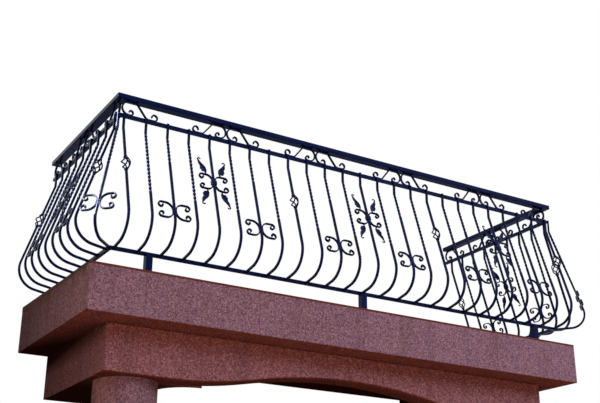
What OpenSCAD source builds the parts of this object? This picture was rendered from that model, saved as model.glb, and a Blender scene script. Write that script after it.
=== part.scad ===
// Balcony on two round columns with a bellied wrought iron railing.
// The house wall is the plane y = 0, the front looks along -Y and +Z is up.
// The origin is in the middle of the slab's back face.

/* [Slab] */
// Length of the balcony along the house wall
slab_w = 3600; // [3400:10:4400]
// Depth of the slab from the wall to its front face
slab_d = 1200; // [1180:5:1300]
// Thickness of the concrete slab with its plaster
slab_t = 258; // [180:2:320]
// Thickness of the floor tiles along the front edge
tile_t = 12; // [8:1:20]
// Rise of the tiled floor from the front edge to the wall
floor_fall = 24; // [6:1:30]
// Height of the tiled floor above the ground
floor_h = 3300; // [2900:10:3900]

/* [Beams] */
// Depth of the beams below the slab
beam_h = 270; // [200:5:400]
// Thickness of the front beam from front to back
front_beam_t = 170; // [140:5:200]
// Width of each side beam
side_beam_w = 465; // [420:5:560]
// Inset of the side beams from the ends of the slab
beam_side_inset = 190; // [120:5:260]
// Inset of the front beam from the front face of the slab
beam_front_inset = 185; // [120:5:240]
// Radius of the rounded inner corners between the beams
beam_corner_r = 210; // [120:5:260]
// Rise of the arch under the front beam
arch_rise = 118; // [60:2:180]
// Part of the arch that belongs to its crown curve
crown_share = 0.56; // [0.3:0.02:0.7]

/* [Columns] */
// Diameter of each round column
column_d = 370; // [300:5:420]
// Distance from the face of the front beam back to the column
column_gap = 72; // [40:2:110]

/* [Rails] */
// Height of the handrail's top above the floor
rail_top = 1050; // [950:5:1200]
// Width of the handrail
handrail_w = 60; // [44:2:80]
// Height of the handrail's section
handrail_h = 30; // [20:1:45]
// Clear height of the scroll band between handrail and mid rail
band_h = 89; // [80:1:110]
// Width of the mid rail
mid_rail_w = 24; // [18:1:34]
// Height of the mid rail's section
mid_rail_h = 20; // [16:1:30]
// Width of the bottom rail
bottom_rail_w = 22; // [18:1:34]
// Height of the bottom rail's section
bottom_rail_h = 20; // [18:1:30]
// Clear height below the bottom rail
bottom_gap = 98; // [60:2:130]
// Inset of the railing's centre line from the front of the slab
rail_front_inset = 49; // [35:1:90]
// Inset of the railing's centre line from the ends of the slab
rail_side_inset = 122; // [60:1:160]
// Side of the square legs under the front bottom rail
leg_t = 40; // [30:1:50]
// Distance from the front of the slab back to the legs
leg_front_inset = 10; // [0:1:20]
// Distance from the corner of the railing to the outer legs
leg_corner_gap = 222; // [120:2:500]

/* [Bars] */
// Side of the square belly bars
bar_t = 12; // [10:1:16]
// Distance from the corner of the rails to the first bar along the front
first_gap = 20; // [18:1:60]
// Distance from the corner of the rails to the first bar of a side
side_gap = 34; // [20:1:44]
// Distance from the wall to the last bar of the left side
left_wall_gap = 93; // [40:1:140]
// Distance from the wall to the last bar of the right side
right_wall_gap = 53; // [40:1:140]
// Number of times the row of ornaments repeats along the front
front_modules = 3; // [2:1:4]
// Upright length of the bars between the mid rail and their knee
knee_drop = 70; // [20:1:90]
// Lean of the bars below the knee, in degrees
belly_lean = 17.4; // [12:0.2:20]
// Radius of the belly
belly_r = 130; // [90:1:140]
// Angle at which the bars tuck in below the belly, in degrees
belly_tuck = 80; // [70:0.5:84]
// Radius of the belly of a corner bar
corner_r = 100; // [90:1:130]
// Angle at which a corner bar tucks in below its belly, in degrees
corner_tuck = 88; // [76:0.5:89]
// Straight length between the knee and a long twist
long_start = 8; // [2:1:60]
// Straight length between the knee and a short twist
short_start = 4; // [2:1:60]
// Straight length between the knee and the twist of a corner bar
corner_start = 24; // [2:1:60]
// Length of one full turn of a twist
twist_pitch = 109; // [80:1:130]
// Full turns of a long twist
long_turns = 4; // [2:1:4]
// Full turns of the short twist above a pair of scrolls
short_turns = 1.75; // [1:0.25:3]
// Full turns of the twist of a corner bar
corner_turns = 2.5; // [1:0.25:3]

/* [Scrolls] */
// Thickness of the flat bar that the scrolls are bent from
scroll_t = 6; // [4:0.5:7]
// Width of the flat bar that the scrolls are bent from
scroll_w = 12; // [8:1:14]
// Distance along a bar from the knee to its pair of scrolls
c_scroll_drop = 543; // [480:1:560]
// Distance along a corner bar from the knee to its pair of scrolls
corner_scroll_drop = 560; // [480:1:600]
// Straight back of a C scroll, flat against its bar
c_back = 12; // [8:1:30]
// Bend radius of a C scroll beside its back
c_bend_r = 45.5; // [36:0.5:50]
// Straight length of a C scroll between bend and curl
c_arm = 24; // [4:1:30]
// Radius of the curls of a C scroll
c_curl_r = 17; // [13:0.5:20]
// Distance along a bar from the knee to a basket or leaf scroll
basket_drop = 269; // [200:1:330]
// Length of a basket between its collars
basket_h = 84; // [60:2:110]
// Greatest diameter of a basket, over its wires
basket_d = 60; // [46:1:70]
// Diameter of a basket's wires
wire_d = 6; // [5:0.5:7]
// Straight back of the scrolls beside a leaf scroll's bar
leaf_back = 30; // [20:1:40]
// Bend radius of the scrolls that carry leaves
leaf_bend_r = 38; // [30:0.5:44]
// Straight length of those scrolls between bend and curl
leaf_arm = 28; // [10:1:34]
// Radius of the curls of the scrolls that carry leaves
leaf_curl_r = 16; // [12:0.5:18]
// Thickness of the leaves
leaf_t = 4; // [3:0.5:6]
// Number of gaps between the pairs of scrolls in the band along the front
band_pairs = 5; // [4:1:5]
// Straight length of a band scroll along the handrail
band_head = 35.5; // [10:0.5:50]
// Length of a band scroll's sloping middle
band_slope = 81; // [60:1:100]
// Straight length of a band scroll along the mid rail
band_foot = 35.8; // [10:0.2:50]

/* [Hidden] */

// Colours of the plaster, the tiles and the painted iron
plaster = [0.55, 0.42, 0.42];
tile = [0.45, 0.27, 0.24];
iron = [0.05, 0.05, 0.08];

// Heights of the floor, the ground and the undersides
structure_h = slab_t + tile_t;
floor_z = structure_h / 2;
slab_low = -structure_h / 2;
beam_low = slab_low - beam_h;
ground_z = floor_z - floor_h;

// Places of the beams and columns
beam_out = slab_w / 2 - beam_side_inset;
beam_in = beam_out - side_beam_w;
beam_front = -slab_d + beam_front_inset;
beam_back = beam_front + front_beam_t;
column_x = beam_out - side_beam_w / 2;
column_y = beam_front + column_gap + column_d / 2;

// Rails and legs
leg_y = -slab_d + leg_front_inset;

// The arch is a crown curve and a reversed springing curve on each side
arch_run = column_x - column_d / 2;
arch_turn = 2 * atan(arch_rise / arch_run);
arch_sum = arch_run / sin(arch_turn);
crown_r = crown_share * arch_sum;
spring_r = arch_sum - crown_r;
arch_steps = 8;

// Corner of the railing's centre line and the heights of its rails
rail_x = slab_w / 2 - rail_side_inset;
rail_y = -slab_d + rail_front_inset;
handrail_z = floor_z + rail_top - handrail_h;
mid_top = handrail_z - band_h;
mid_low = mid_top - mid_rail_h;
bottom_z = floor_z + bottom_gap;
bottom_mid = bottom_z + bottom_rail_h / 2;

// A bar lies on the outer face of the mid rail, leans out below its knee,
// rounds the belly and tucks in to the outer face of the bottom rail
bar_out = mid_rail_w / 2 + bar_t / 2;
tuck_end = bottom_rail_w / 2;
knee_z = mid_low - knee_drop;
bar_drop = knee_z - bottom_mid;

// Length of a bar's leaning part above a belly of radius r that tucks in by t
// and then runs straight to a distance e from the rail's centre line
function lean_length(r, t, e) = let (slope = cos(t) / sin(t))
    (bar_drop - r * (sin(belly_lean) + sin(t)) - slope * (r * (cos(t) - cos(belly_lean)) + bar_out - e))
    / (1 + tan(belly_lean) * slope) / cos(belly_lean);

// Eight bar gaps make one row of ornaments
row_gaps = 8;
front_bars = row_gaps * front_modules;
front_pitch = 2 * (rail_x - first_gap) / front_bars;
left_pitch = (-rail_y - side_gap - left_wall_gap) / row_gaps;
right_pitch = (-rail_y - side_gap - right_wall_gap) / row_gaps;

// The corner bar stands on the diagonal, let 2 mm into the corner of the mid rail
corner_let_in = 2;
corner_shift = (mid_rail_w * sqrt(2) - mid_rail_w) / 2 - corner_let_in;
corner_end = tuck_end - corner_shift - bar_t / 2;

// Shape of a bar below the knee: belly radius, tuck, length of the lean, lower end
row_shape = [belly_r, belly_tuck, lean_length(belly_r, belly_tuck, tuck_end), tuck_end];
corner_shape = [corner_r, corner_tuck, lean_length(corner_r, corner_tuck, corner_end), corner_end];

// Widest angle between two points of a bend, and of a tight curl
bend_step = 15;
curl_step = 22.5;
tight_r = 30;

// A twist is a little thinner than its bar and reaches into it at both ends
twist_t = bar_t - 0.3;
twist_lap = 0.6;

// Scrolls of the band, kept a hair apart in the middle of each pair
half_gap = 0.15;
band_r = (band_h - scroll_t) / 2;
band_pitch = 2 * rail_x / band_pairs;
band_len = -rail_y;
band_shifts = [21, -2, 12, 41];
band_lead = 12;
band_curl_r = 15;
band_core_r = 8;
band_bend_r = 25;
band_angle = 52;
band_hook_r = 19;

// The curls of all scrolls end in a tighter turn
core_share = 0.55;
core_angle = 150;

// Section of the basket
collar_h = 8;
collar_t = 20;
basket_len = basket_h + 2 * collar_h;
wire_sides = 6;
wire_rings = 8;
wire_gather = 0.85 * wire_d;

// Collar round the bar and the backs of the scrolls that carry leaves
leaf_collar_wall = 5;
leaf_collar_w = bar_t + 2 * scroll_t + 2 * leaf_collar_wall;
leaf_collar_t = bar_t + 8;
leaf_collar_h = leaf_back + 2;

// Middle line of a leaf: a bend away from the bar, one back, and the hooked tip
leaf_start = [bar_t / 2 + leaf_bend_r + 6, leaf_back / 2 + leaf_bend_r];
leaf_angle = 105;
blade_bends = [[66, -58, 8], [90, 24, 4]];
blade_n = blade_bends[0][2] + blade_bends[1][2] + 1;
leaf_steps = concat([for (b = blade_bends) for (i = [1:b[2]]) [b[0], b[1] / b[2]]], [[14, 0], [9, 170]]);

// Half width of a leaf at point i of its line, from its stem and its blade
stem_w = 2.4;
stem_taper = 0.09;
near_w = 13;
far_w = 20;
lobes = 3.5;
function blade(i) = pow(max(0, sin(180 * pow(min(1, i / blade_n), 0.62))), 0.8);
function stem(i) = stem_w - stem_taper * max(0, i - blade_n);
function leaf_near(i) = stem(i) + near_w * blade(i);
function leaf_far(i) = stem(i) + far_w * blade(i) * (0.62 + 0.38 * abs(sin(180 * lobes * i / blade_n)));

// One step of a bent bar is [length, 0] when straight or [radius, turn]
function step_points(s, p, h) = let (
        n = s[1] == 0 ? 1 : ceil(abs(s[1]) / (s[0] < tight_r ? curl_step : bend_step)),
        side = sign(s[1]),
        c = p + side * s[0] * [-sin(h), cos(h)])
    [for (k = [1:n]) let (a = h + s[1] * k / n)
        s[1] == 0 ? [p + s[0] * [cos(h), sin(h)], h]
        : [c + side * s[0] * [sin(a), -cos(a)], a]];

// Centre line of a bent bar as a list of [point, heading]
function walk(steps, p, h, i = 0) = i == len(steps) ? []
    : let (pts = step_points(steps[i], p, h), last = pts[len(pts) - 1])
        concat(pts, walk(steps, last[0], last[1], i + 1));

function trail(steps, p, h) = concat([[p, h]], walk(steps, p, h));

// Point beside a centre line, a distance d to its left
function beside(q, d) = q[0] + d * [-sin(q[1]), cos(q[1])];

// Outline of a bar of thickness t round its centre line
function ribbon(line, t) = let (n = len(line))
    concat([for (q = line) beside(q, t / 2)],
        [for (i = [n - 1:-1:0]) beside(line[i], -t / 2)]);

// The same centre line mirrored in the X axis and walked the other way
function mirrored(line) = [for (i = [len(line) - 1:-1:1])
    [[line[i][0][0], -line[i][0][1]], 180 - line[i][1]]];

// Point on a bar's leaning part, a distance s below the knee
function on_lean(s) = [bar_out + s * sin(belly_lean), knee_z - s * cos(belly_lean)];

// Centre line of a bar from the top of the mid rail down to its knee
function bar_top() = [[[bar_out, mid_top], -90], [[bar_out, knee_z], belly_lean / 2 - 90]];

// Centre line of a bar from a distance s below the knee to the end of the belly
function bar_line(s, shape) = trail([[shape[2] - s, 0], [shape[0], -belly_lean - shape[1]]],
    on_lean(s), belly_lean - 90);

module facing(p, a) {
    translate([p[0], p[1], 0]) rotate([90, 0, a]) children();
}

module mirror_x() {
    mirror([1, 0, 0]) children();
}

module on_bar(s) {
    q = on_lean(s);
    translate([q[0], q[1], 0]) rotate([0, 0, belly_lean]) rotate([0, -90, 0]) children();
}

module slab() {
    color(plaster)
    translate([-slab_w / 2, -slab_d, slab_low])
    cube([slab_w, slab_d, slab_t]);
}

module floor_tiles() {
    color(tile)
    translate([-slab_w / 2, 0, slab_low + slab_t])
    rotate([90, 0, 90])
    linear_extrude(slab_w)
    polygon([[-slab_d, 0], [0, 0], [0, tile_t + floor_fall], [-slab_d, tile_t]]);
}

function half_arch() = concat(
    [for (k = [arch_steps:-1:1]) let (a = arch_turn * (arch_steps - k) / arch_steps)
        [-arch_run + spring_r * sin(a), spring_r * (1 - cos(a))]],
    [for (k = [arch_steps:-1:0]) let (a = arch_turn * k / arch_steps)
        [-crown_r * sin(a), arch_rise - crown_r * (1 - cos(a))]]);

module front_beam() {
    left = half_arch();
    n = len(left);
    right = [for (i = [n - 2:-1:0]) [-left[i][0], left[i][1]]];
    color(plaster)
    translate([0, beam_back, beam_low])
    rotate([90, 0, 0])
    linear_extrude(front_beam_t)
    polygon(concat([[-beam_out, beam_h], [-beam_out, 0]], left, right,
        [[beam_out, 0], [beam_out, beam_h]]));
}

module left_beam() {
    r = beam_corner_r;
    color(plaster)
    translate([0, 0, beam_low])
    linear_extrude(beam_h)
    difference() {
        polygon([[-beam_out, beam_back], [-beam_in + r, beam_back],
            [-beam_in + r, beam_back + r], [-beam_in, beam_back + r],
            [-beam_in, 0], [-beam_out, 0]]);
        translate([-beam_in + r, beam_back + r])
        circle(r, $fn = 64);
    }
}

module right_beam() {
    mirror_x() left_beam();
}

module left_column() {
    color(plaster)
    translate([-column_x, column_y, ground_z])
    cylinder(d = column_d, h = beam_low - ground_z, $fn = 64);
}

module right_column() {
    mirror_x() left_column();
}

// Straight rail along the front with mitred ends
module front_rail(w, h, z) {
    color(iron)
    translate([0, rail_y, z])
    linear_extrude(h)
    polygon([[-rail_x - w / 2, -w / 2], [rail_x + w / 2, -w / 2],
        [rail_x - w / 2, w / 2], [-rail_x + w / 2, w / 2]]);
}

// Straight rail along the left side, from its mitre to the wall
module side_rail(w, h, z) {
    color(iron)
    translate([-rail_x, 0, z])
    linear_extrude(h)
    polygon([[-w / 2, rail_y - w / 2], [w / 2, rail_y + w / 2],
        [w / 2, 0], [-w / 2, 0]]);
}

module front_handrail() {
    front_rail(handrail_w, handrail_h, handrail_z);
}

module left_handrail() {
    side_rail(handrail_w, handrail_h, handrail_z);
}

module right_handrail() {
    mirror_x() left_handrail();
}

module front_mid_rail() {
    front_rail(mid_rail_w, mid_rail_h, mid_low);
}

module left_mid_rail() {
    side_rail(mid_rail_w, mid_rail_h, mid_low);
}

module right_mid_rail() {
    mirror_x() left_mid_rail();
}

module front_bottom_rail() {
    front_rail(bottom_rail_w, bottom_rail_h, bottom_z);
}

module left_bottom_rail() {
    side_rail(bottom_rail_w, bottom_rail_h, bottom_z);
}

module right_bottom_rail() {
    mirror_x() left_bottom_rail();
}

module leg(x) {
    color(iron)
    translate([x - leg_t / 2, leg_y, floor_z])
    cube([leg_t, leg_t, bottom_gap]);
}

module left_leg() {
    leg(-rail_x + leg_corner_gap);
}

module middle_leg() {
    leg(0);
}

module right_leg() {
    leg(rail_x - leg_corner_gap);
}

// Half of a pair of scrolls in the band, right of the pair's middle
function band_scroll() = let (t = scroll_t / 2, start = t + half_gap + band_r,
        inner = mirrored(trail([[band_r, -180], [band_lead, 0], [band_curl_r, -180],
            [band_core_r, -120]], [start, -(band_h - t)], 180)),
        outer = trail([[band_head, 0], [band_bend_r, -band_angle], [band_slope, 0],
            [band_bend_r, band_angle], [band_foot, 0], [band_hook_r, 180], [band_curl_r, 110]],
            [start, band_h - t], 0))
    concat(inner, outer);

module band_half() {
    linear_extrude(scroll_w, center = true)
    polygon(ribbon(band_scroll(), scroll_t));
}

module band_pair() {
    band_half();
    mirror_x() band_half();
}

function band_place(i) = -rail_x + i * band_pitch + band_shifts[i - 1];

module front_scroll_band() {
    color(iron)
    translate([0, rail_y, mid_top])
    rotate([90, 0, 0]) {
        for (i = [1:band_pairs - 1]) translate([band_place(i), 0, 0]) band_pair();
        translate([-rail_x + scroll_w / 2, 0, 0]) band_half();
        translate([rail_x - scroll_w / 2, 0, 0]) mirror_x() band_half();
    }
}

module left_scroll_band() {
    color(iron)
    translate([-rail_x, rail_y, mid_top])
    rotate([90, 0, 90]) {
        translate([scroll_w / 2, 0, 0]) band_half();
        translate([band_len / 2, 0, 0]) band_pair();
        translate([band_len, 0, 0]) mirror_x() band_half();
    }
}

module right_scroll_band() {
    mirror_x() left_scroll_band();
}

// Bar along a centre line, run on in its tuck and cut upright at its lower end
module bar_lower(line, shape) {
    last = line[len(line) - 1];
    run = (last[0][0] - shape[3]) / sin(shape[1]);
    low = last[0] + run * [-sin(shape[1]), -cos(shape[1])];
    half = bar_t / 2;
    cut = half / sin(shape[1]);
    linear_extrude(bar_t, center = true)
    polygon(concat([for (q = line) beside(q, half)],
        [[low[0], low[1] - cut], [low[0], low[1] + cut]],
        [for (i = [len(line) - 1:-1:0]) beside(line[i], -half)]));
}

module bar_stub(s) {
    linear_extrude(bar_t, center = true)
    polygon(ribbon(concat(bar_top(), [[on_lean(s), belly_lean - 90]]), bar_t));
}

module bar_twist(s, turns) {
    q = on_lean(s - twist_lap);
    translate([q[0], q[1], 0])
    rotate([0, 0, belly_lean])
    rotate([90, 0, 0])
    linear_extrude(turns * twist_pitch + 2 * twist_lap, twist = 360 * turns,
        slices = 8 * turns, segments = 4)
    square(twist_t, center = true);
}

module twisted_bar(start, turns, shape) {
    bar_stub(start);
    bar_twist(start, turns);
    bar_lower(bar_line(start + turns * twist_pitch, shape), shape);
}

module basket_bar() {
    bar_stub(basket_drop - basket_len / 2);
    bar_lower(bar_line(basket_drop + basket_len / 2, row_shape), row_shape);
}

module plain_bar() {
    line = bar_line(0, row_shape);
    bar_lower(concat(bar_top(), [for (i = [1:len(line) - 1]) line[i]]), row_shape);
}

// Bar number k of a row, counted from 0 at the corner
module ornament_bar(k) {
    if (k % row_gaps == 0) basket_bar();
    if (k % 4 == 2) twisted_bar(short_start, short_turns, row_shape);
    if (k % row_gaps == 4) plain_bar();
}

function front_place(k) = [-rail_x + first_gap + k * front_pitch, rail_y];
function side_place(k, pitch) = [-rail_x, rail_y + side_gap + k * pitch];

module front_twisted_bars() {
    color(iron)
    for (k = [1:2:front_bars - 1])
        facing(front_place(k), -90) twisted_bar(long_start, long_turns, row_shape);
}

module side_twisted_bars(pitch) {
    color(iron)
    for (k = [1:2:row_gaps - 1])
        facing(side_place(k, pitch), 180) twisted_bar(long_start, long_turns, row_shape);
}

module left_twisted_bars() {
    side_twisted_bars(left_pitch);
}

module right_twisted_bars() {
    mirror_x() side_twisted_bars(right_pitch);
}

module front_ornament_bars() {
    color(iron)
    for (k = [0:2:front_bars]) facing(front_place(k), -90) ornament_bar(k);
}

module side_ornament_bars(pitch) {
    color(iron)
    for (k = [0:2:row_gaps]) facing(side_place(k, pitch), 180) ornament_bar(k);
}

module left_ornament_bars() {
    side_ornament_bars(left_pitch);
}

module right_ornament_bars() {
    mirror_x() side_ornament_bars(right_pitch);
}

// Where the corner bar stands, a little out from the corner of the rails
corner_place = [-rail_x, rail_y] - corner_shift * [1, 1] / sqrt(2);

// Corner block of a rail, as wide as the rail, that the corner bar is notched round
module rail_corner(w, h, z) {
    translate([-rail_x - w / 2, rail_y - w / 2, z])
    cube([2 * w, 2 * w, h]);
}

module left_corner_bar() {
    color(iron)
    difference() {
        facing(corner_place, -135) twisted_bar(corner_start, corner_turns, corner_shape);
        rail_corner(mid_rail_w, mid_rail_h, mid_low);
        rail_corner(bottom_rail_w, bottom_rail_h, bottom_z);
    }
}

module right_corner_bar() {
    mirror_x() left_corner_bar();
}

// One twisted wire of a basket, with level rings so that its ends lie flat
module basket_wire(a0) {
    r1 = (basket_d - wire_d) / 2;
    pts = [for (i = [0:wire_rings]) let (s = i / wire_rings, a = a0 + 180 * s,
            r = wire_gather + (r1 - wire_gather) * sin(180 * s))
        for (j = [0:wire_sides - 1]) let (b = 360 * j / wire_sides)
            [r * cos(a) + wire_d / 2 * cos(b), r * sin(a) + wire_d / 2 * sin(b),
                (s - 0.5) * basket_h]];
    sides = [for (i = [0:wire_rings - 1]) for (j = [0:wire_sides - 1])
        let (k = (j + 1) % wire_sides, b = i * wire_sides)
            [b + j, b + wire_sides + j, b + wire_sides + k, b + k]];
    low = [for (j = [0:wire_sides - 1]) j];
    high = [for (j = [wire_sides - 1:-1:0]) wire_rings * wire_sides + j];
    polyhedron(pts, concat(sides, [low], [high]));
}

module basket() {
    for (a = [0:90:270]) basket_wire(a);
    for (e = [-1, 1]) translate([0, 0, e * (basket_h + collar_h) / 2])
        cube([collar_t, collar_t, collar_h], center = true);
}

module basket_at(p, a) {
    facing(p, a) on_bar(basket_drop) rotate([90, 0, 0]) basket();
}

module front_baskets() {
    color(iron)
    for (k = [0:row_gaps:front_bars]) basket_at(front_place(k), -90);
}

module side_baskets(pitch) {
    color(iron)
    for (k = [0, row_gaps]) basket_at(side_place(k, pitch), 180);
}

module left_baskets() {
    side_baskets(left_pitch);
}

module right_baskets() {
    mirror_x() side_baskets(right_pitch);
}

// One scroll beside a bar: a flat back against it and a curl at each end
function c_line(back, r, flat, curl) = let (up = trail([[back / 2, 0], [r, -90], [flat, 0],
        [curl, -180], [curl * core_share, -core_angle]], [bar_t / 2 + scroll_t / 2, 0], 90))
    concat(mirrored(up), up);

module c_scroll_pair() {
    for (m = [0, 1]) mirror([m, 0, 0])
        linear_extrude(scroll_w, center = true)
        polygon(ribbon(c_line(c_back, c_bend_r, c_arm, c_curl_r), scroll_t));
}

module scrolls_at(p, a, s) {
    facing(p, a) on_bar(s) c_scroll_pair();
}

module front_c_scrolls() {
    color(iron)
    for (k = [2:4:front_bars]) scrolls_at(front_place(k), -90, c_scroll_drop);
}

module side_c_scrolls(pitch) {
    color(iron)
    for (k = [2:4:row_gaps]) scrolls_at(side_place(k, pitch), 180, c_scroll_drop);
}

module left_c_scrolls() {
    side_c_scrolls(left_pitch);
}

module right_c_scrolls() {
    mirror_x() side_c_scrolls(right_pitch);
}

module left_corner_scrolls() {
    color(iron)
    scrolls_at(corner_place, -135, corner_scroll_drop);
}

module right_corner_scrolls() {
    mirror_x() left_corner_scrolls();
}

// A leaf that springs from the crest of a scroll, smooth beside the bar, lobed outside
module leaf() {
    line = trail(leaf_steps, leaf_start, leaf_angle);
    n = len(line) - 1;
    linear_extrude(leaf_t, center = true)
    polygon(concat([for (i = [0:n]) beside(line[i], leaf_near(i))],
        [for (i = [n:-1:0]) beside(line[i], -leaf_far(i))]));
}

module leaf_scroll() {
    for (m = [0, 1]) mirror([m, 0, 0]) {
        linear_extrude(scroll_w, center = true)
        polygon(ribbon(c_line(leaf_back, leaf_bend_r, leaf_arm, leaf_curl_r), scroll_t));
        for (v = [0, 1]) mirror([0, v, 0]) leaf();
    }
    difference() {
        cube([leaf_collar_w, leaf_collar_h, leaf_collar_t], center = true);
        cube([bar_t + 2 * scroll_t, leaf_collar_h + 2, bar_t], center = true);
    }
}

module leaf_at(p, a) {
    facing(p, a) on_bar(basket_drop) leaf_scroll();
}

module front_leaf_scrolls() {
    color(iron)
    for (k = [4:row_gaps:front_bars]) leaf_at(front_place(k), -90);
}

module left_leaf_scroll() {
    color(iron)
    leaf_at(side_place(row_gaps / 2, left_pitch), 180);
}

module right_leaf_scroll() {
    color(iron)
    mirror_x() leaf_at(side_place(row_gaps / 2, right_pitch), 180);
}

slab();
floor_tiles();
front_beam();
left_beam();
right_beam();
left_column();
right_column();
front_handrail();
left_handrail();
right_handrail();
front_mid_rail();
left_mid_rail();
right_mid_rail();
front_bottom_rail();
left_bottom_rail();
right_bottom_rail();
left_leg();
middle_leg();
right_leg();
front_scroll_band();
left_scroll_band();
right_scroll_band();
front_twisted_bars();
left_twisted_bars();
right_twisted_bars();
front_ornament_bars();
left_ornament_bars();
right_ornament_bars();
left_corner_bar();
right_corner_bar();
front_baskets();
left_baskets();
right_baskets();
front_c_scrolls();
left_c_scrolls();
right_c_scrolls();
left_corner_scrolls();
right_corner_scrolls();
front_leaf_scrolls();
left_leaf_scroll();
right_leaf_scroll();
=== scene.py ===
# %% [markdown]
# # A wrought iron balcony
#
# This lesson dresses a house balcony: a plastered slab on an arched beam and two round columns,
# with a railing whose bars swell outwards in a belly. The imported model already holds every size,
# so Blender only adds the finish of each surface and the fine shapes of the smith's work.
#
# The model is loaded first and its box is kept, because nothing that is added may make it larger.
# Sizes that a solid shows are measured on it, so that the finish follows the model.

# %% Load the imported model
import bpy
import bmesh
import math
from mathutils import Matrix, Vector


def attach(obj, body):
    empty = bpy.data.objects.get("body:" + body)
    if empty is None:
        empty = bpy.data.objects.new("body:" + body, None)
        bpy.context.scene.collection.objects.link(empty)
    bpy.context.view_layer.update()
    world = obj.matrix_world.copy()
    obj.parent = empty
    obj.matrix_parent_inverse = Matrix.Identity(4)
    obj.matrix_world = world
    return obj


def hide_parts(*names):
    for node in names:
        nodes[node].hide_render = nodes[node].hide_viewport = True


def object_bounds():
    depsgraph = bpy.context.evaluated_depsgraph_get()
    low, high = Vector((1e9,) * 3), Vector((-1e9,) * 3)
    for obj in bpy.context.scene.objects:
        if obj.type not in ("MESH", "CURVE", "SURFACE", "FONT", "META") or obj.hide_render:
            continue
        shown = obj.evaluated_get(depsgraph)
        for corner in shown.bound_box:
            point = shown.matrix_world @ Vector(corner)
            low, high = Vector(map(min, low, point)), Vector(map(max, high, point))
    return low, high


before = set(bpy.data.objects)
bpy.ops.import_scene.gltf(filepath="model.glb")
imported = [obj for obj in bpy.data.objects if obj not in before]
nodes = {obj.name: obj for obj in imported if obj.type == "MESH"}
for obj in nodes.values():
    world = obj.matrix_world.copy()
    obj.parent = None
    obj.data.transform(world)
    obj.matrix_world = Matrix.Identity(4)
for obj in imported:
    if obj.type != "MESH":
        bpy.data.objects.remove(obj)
cad_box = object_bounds()
print("nodes:", len(nodes))
print("box of the solids:", [[round(v, 3) for v in corner] for corner in cad_box])

# %% Measure the slab
def box_of(name):
    """The lowest and the highest corner of a solid."""
    points = [v.co for v in nodes[name].data.vertices]
    return [[round(pick(axis), 5) for axis in zip(*points)] for pick in (min, max)]


ground_z = cad_box[0][2]
left_end, _, slab_low = box_of("slab")[0]
slab_top = box_of("slab")[1][2]
print("slab from", slab_low, "to", slab_top, "m, its left end at", left_end, "m")

# %% [markdown]
# ## Camera
#
# The balcony is seen from the garden, from low on its left, so the camera stands 1.6 m above the
# ground and looks up. Place, turn and focal length were worked out from the straight edges of the
# slab and rails, which meet at right angles on the real thing.

# %% Camera
camera_data = bpy.data.cameras.new("camera")
camera_data.sensor_width = 36.0
camera_data.lens = 60.477
camera = bpy.data.objects.new("camera", camera_data)
camera.location = (-3.5239, -6.1716, -1.5697)
camera.rotation_euler = [math.radians(a) for a in (111.7062, -0.1694, -31.5275)]
bpy.context.collection.objects.link(camera)
bpy.context.scene.camera = camera
bpy.context.scene.view_settings.view_transform = "Standard"
print("camera height above the ground:", round(camera.location.z - ground_z, 2), "m")

# %% [markdown]
# ## Studio
#
# The world is white where the camera or a glossy surface looks at it, and a dimmer sky, cool
# above and warm below, where it only lights the object, so the backdrop costs no contrast. One
# large soft lamp stands in front on the right, as the daylight does. A weak warm one lies low on
# the left, for the light that a sunny garden sends back, with a narrowed beam that keeps to the
# front. A small third lamp, high on the left, is only seen by gloss: it sets bright beads on the
# twisted bars. A plain floor lies at the foot of the columns. It is pale to the camera, cool where
# it shows in the paint, and warm where it throws light up under the slab.

# %% Node helpers
def add(tree, kind, values=None, **settings):
    """A new node, with its settings, and its sockets linked or filled from values."""
    node = tree.nodes.new("ShaderNode" + kind)
    for name, value in settings.items():
        setattr(node, name, value)
    for name, value in (values or {}).items():
        if isinstance(value, bpy.types.NodeSocket):
            tree.links.new(value, node.inputs[name])
        else:
            node.inputs[name].default_value = value
    return node


def math_node(tree, operation, a, b=0.0, clamp=False):
    return add(tree, "Math", {0: a, 1: b}, operation=operation, use_clamp=clamp).outputs[0]


def ramp(tree, value, low, high):
    """0 below low, 1 above high, and a straight rise between them. With low above high it falls."""
    return add(tree, "MapRange", {"Value": value, "From Min": low, "From Max": high}).outputs[0]


def blend(tree, amount, a, b):
    """The colour a, turning to b as amount goes from 0 to 1."""
    return add(tree, "Mix", {0: amount, 6: a, 7: b}, data_type="RGBA").outputs[2]


print("node helpers ready")

# %% World
world = bpy.data.worlds.new("studio")
bpy.context.scene.world = world
world.use_nodes = True
w = world.node_tree
w.nodes.clear()
look = add(w, "SeparateXYZ", {0: add(w, "TexCoord").outputs["Generated"]})
sky = blend(w, ramp(w, look.outputs["Z"], -0.2, 0.5), (0.62, 0.40, 0.32, 1), (0.72, 0.78, 1.0, 1))
front = add(w, "MapRange", {"Value": look.outputs["Y"], "From Min": -0.3, "From Max": 0.6,
                            "To Min": 0.50, "To Max": 0.42})
dim = add(w, "Background", {"Color": sky, "Strength": front.outputs[0]})
white = add(w, "Background", {"Color": (1, 1, 1, 1), "Strength": 1.0})
rays = add(w, "LightPath").outputs
seen = math_node(w, "MAXIMUM", rays["Is Camera Ray"], rays["Is Glossy Ray"])
seen = math_node(w, "MAXIMUM", seen, rays["Is Transmission Ray"])
mix = add(w, "MixShader", {0: seen, 1: dim.outputs[0], 2: white.outputs[0]})
add(w, "OutputWorld", {"Surface": mix.outputs[0]})
print("world: white to the camera, a soft sky to the plaster")

# %% Lamps
def area_lamp(name, place, target, size, power, colour):
    data = bpy.data.lights.new(name, "AREA")
    data.shape = "RECTANGLE"
    data.size, data.size_y = size
    data.energy = power
    data.color = colour
    lamp = bpy.data.objects.new(name, data)
    lamp.location = place
    lamp.rotation_euler = (Vector(target) - Vector(place)).to_track_quat("-Z", "Y").to_euler()
    bpy.context.collection.objects.link(lamp)
    return lamp


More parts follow.
